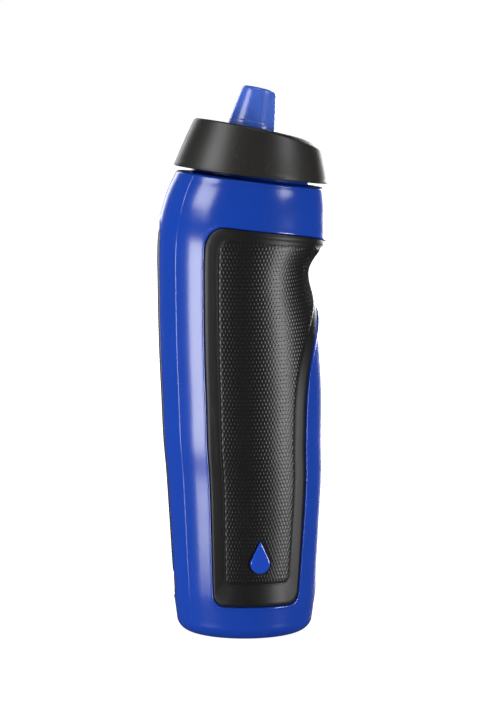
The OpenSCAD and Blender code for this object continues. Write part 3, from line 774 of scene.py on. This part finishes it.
stem_profile = np.array([
    [3.9, -4.3], [4.1, -4.4], [8.8, -4.4], [9, -4.25], [9, -2.55], [8.85, -2.4], [8.37, -2.4], [8.35, -3.3],
    [6.47, -3.3], [6.45, -2.4], [5.5, -2.4], [5.5, 2], [5.5, 6], [5.5, 9.3], [5.7, 9.42], [6.15, 9.45],
    [6.3, 9.6],
    [6.3, 10.05], [6.1, 10.4], [5.6, 11.6], [5.5, 12.2], [5.35, 12.5], [5.1, 12.6], [4.2, 12.6], [3.95, 12.4],
    [3.9, 12], [3.9, 6], [3.9, 0]])
stem_shell = tube_of(on_spout(stem_profile))
pin_profile = np.array([[0.7, 4.0], [1.8, 4.0], [1.95, 4.15], [1.95, 8], [1.95, 12], [1.95, 16.9],
                        [1.75, 17.15], [1.1, 17.2]])
pin_ends = placed(top_frame(np.array([-SPOUT_BACK, -SPOUT_BACK]), np.array([0, 0]), np.array([4.0, 17.2])))
pin_shell = poled(on_spout(pin_profile), pin_ends[0], pin_ends[1])


def stem_rib(turn):
    """A rounded web from the pin to the tube, as a closed loft of four rings along its length."""
    out_to = np.array([1.5, 2.0, 3.6, 4.2])
    section = np.array([[-0.6, 4.15], [-0.45, 4.0], [0.45, 4.0], [0.6, 4.15], [0.6, 7.85], [0.45, 8.0],
                        [-0.45, 8.0], [-0.6, 7.85]])
    c, s = math.cos(math.radians(turn)), math.sin(math.radians(turn))
    x = out_to[:, None] * c - section[None, :, 0] * s - SPOUT_BACK
    y = out_to[:, None] * s + section[None, :, 0] * c
    rings = placed(top_frame(x, y, section[None, :, 1] + 0 * x))
    m = len(section)
    faces = net(4, m) + [list(range(m))[::-1], [3 * m + j for j in range(m)]]
    return rings.reshape(-1, 3), faces


stem_black = moulded_plastic("stem_black", (0.024, 0.023, 0.023), (0.017, 0.017, 0.017), 0.36, scratches=0.3)
stem = piece("valve_tube", [stem_shell, pin_shell] + [stem_rib(t) for t in (0, 120, 240)], stem_black, "cap")
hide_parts("valve_stem")

# ---- Stem O-ring --------------------------------------------------------------------------------
# A thin black rubber ring squeezed between the stem's flange and the underside of the cap, to keep
# the drink from leaking past the stem.
O_RING_AT, O_RING_R, TOP_UNDER = 7.4, 0.9, -2.4
bead_turn = np.radians(np.arange(0, 360, 15.0))
o_profile = np.stack([O_RING_AT + O_RING_R * np.cos(bead_turn), TOP_UNDER + O_RING_R * np.sin(bead_turn)], -1)
o_ring_black = moulded_plastic("o_ring_black", (0.03, 0.03, 0.03), (0.02, 0.02, 0.02), 0.45, scratches=0.1)
o_ring = piece("seal_ring", [tube_of(on_spout(o_profile))], o_ring_black, "cap")
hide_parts("stem_o_ring")

# ---- Nozzle -------------------------------------------------------------------------------------
# The push-pull drinking nozzle: clear blue polyethylene, a cone on a small foot ring with a rounded
# lip and a round mouth, sliding on the valve stem.
NOZZLE_H, NOZZLE_FOOT, NOZZLE_TIP, CONE_FROM, TIP_R = 18, 10.0, 7.3, 3, 1.4
cone = (NOZZLE_FOOT - NOZZLE_TIP) / (NOZZLE_H - CONE_FROM)
lip = np.radians(np.linspace(10, 90, 7))
tip_round = np.stack([NOZZLE_TIP - TIP_R + TIP_R * np.cos(lip) + cone * 1.2 * (1 - np.sin(lip)),
                      NOZZLE_H - TIP_R + TIP_R * np.sin(lip)], -1)
cone_h = np.linspace(3.35, 16.2, 12)
nozzle_profile = np.concatenate([
    [[5.7, 0.2], [9.8, 0.2], [10.1, 0.3], [10.2, 0.55], [10.2, 1.6], [10.2, 2.6], [10.12, 2.9], [9.96, 3.1]],
    np.stack([NOZZLE_FOOT - cone * (cone_h - CONE_FROM), cone_h], -1), tip_round,
    [[5.0, NOZZLE_H], [3.4, NOZZLE_H], [2.5, 17.95], [2.12, 17.75], [2.03, 17.4], [2.03, 16], [2.03, 14.8],
     [2.15, 14.6], [4.6, 14.6], [5.6, 14.5], [5.75, 14.2], [6.4, 10], [7.1, 6], [7.55, 3.4], [7.4, 3.2],
     [5.8, 3.2], [5.6, 3.1], [5.58, 2.5], [5.58, 0.4]]])
nozzle_blue = moulded_plastic("nozzle_blue", (0.055, 0.125, 0.50), (0.042, 0.10, 0.43), 0.24, pore=0.000012,
                              scratches=0.35)
gel = nozzle_blue.node_tree.nodes["Principled BSDF"]
gel.inputs["Subsurface Weight"].default_value = 0.35
gel.inputs["Subsurface Radius"].default_value = (0.001, 0.0018, 0.004)
gel.inputs["Subsurface Scale"].default_value = 1.0
nozzle = piece("drinking_nozzle", [tube_of(on_spout(nozzle_profile))], nozzle_blue, "nozzle",
               crease=35)
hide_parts("nozzle")
